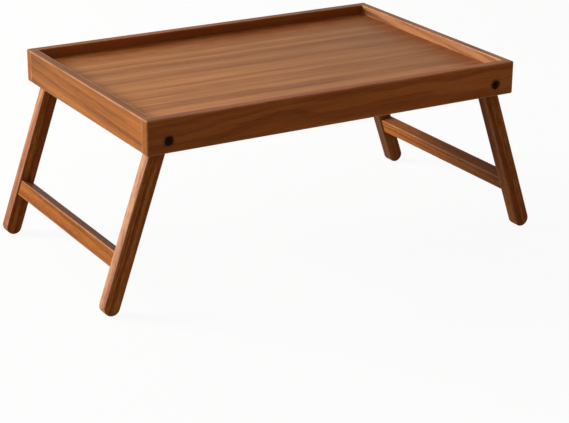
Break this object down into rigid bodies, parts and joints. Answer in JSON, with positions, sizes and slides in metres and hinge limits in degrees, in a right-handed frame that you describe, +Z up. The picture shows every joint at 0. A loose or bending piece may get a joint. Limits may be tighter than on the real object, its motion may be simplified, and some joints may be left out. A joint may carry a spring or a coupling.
{
  "type": "bed tray table",
  "caption": "Rimmed wooden bed tray table with splayed leg frames that pivot on bolts through the long rails and fold flat under the tray.",
  "frame": {"origin": "on the floor under the middle of the tray, with the legs open", "axes": "+X along the tray's long side, from the left leg frame to the right one; +Y from the front rail to the back rail; +Z up"},
  "size_m": [0.5998, 0.34, 0.2299],
  "materials": {
    "rail_wood": "oiled red-brown hardwood, satin",
    "board_wood": "oiled veneer, grain along the tray's length, satin",
    "frame_wood": "oiled red-brown hardwood, satin",
    "dowel_wood": "pale plain hardwood, glued in",
    "bolt_black": "black oxide steel, satin",
    "spacer_nylon": "black nylon",
    "nut_steel": "zinc-plated steel"
  },
  "bodies": {
    "tray": {"tray_board": "board_wood", "front_rail": "rail_wood", "back_rail": "rail_wood", "left_rail": "rail_wood", "right_rail": "rail_wood", "front_left_dowels": "dowel_wood", "front_left_bolt": "bolt_black", "front_left_spacer": "spacer_nylon", "front_left_nut": "nut_steel", "front_right_dowels": "dowel_wood", "front_right_bolt": "bolt_black", "front_right_spacer": "spacer_nylon", "front_right_nut": "nut_steel", "back_left_dowels": "dowel_wood", "back_left_bolt": "bolt_black", "back_left_spacer": "spacer_nylon", "back_left_nut": "nut_steel", "back_right_dowels": "dowel_wood", "back_right_bolt": "bolt_black", "back_right_spacer": "spacer_nylon", "back_right_nut": "nut_steel"},
    "left_legs": {"left_stretcher": "frame_wood", "front_left_leg": "frame_wood", "back_left_leg": "frame_wood"},
    "right_legs": {"right_stretcher": "frame_wood", "front_right_leg": "frame_wood", "back_right_leg": "frame_wood"}
  },
  "joints": [
    {"name": "left_legs_fold", "type": "hinge", "parent": "tray", "child": "left_legs", "pos_m": [-0.22333, 0, 0.20336], "axis": [0, -1, 0], "range_deg": [0, 109]},
    {"name": "right_legs_fold", "type": "hinge", "parent": "tray", "child": "right_legs", "pos_m": [0.22333, 0, 0.20336], "axis": [0, 1, 0], "range_deg": [0, 109]}
  ]
}
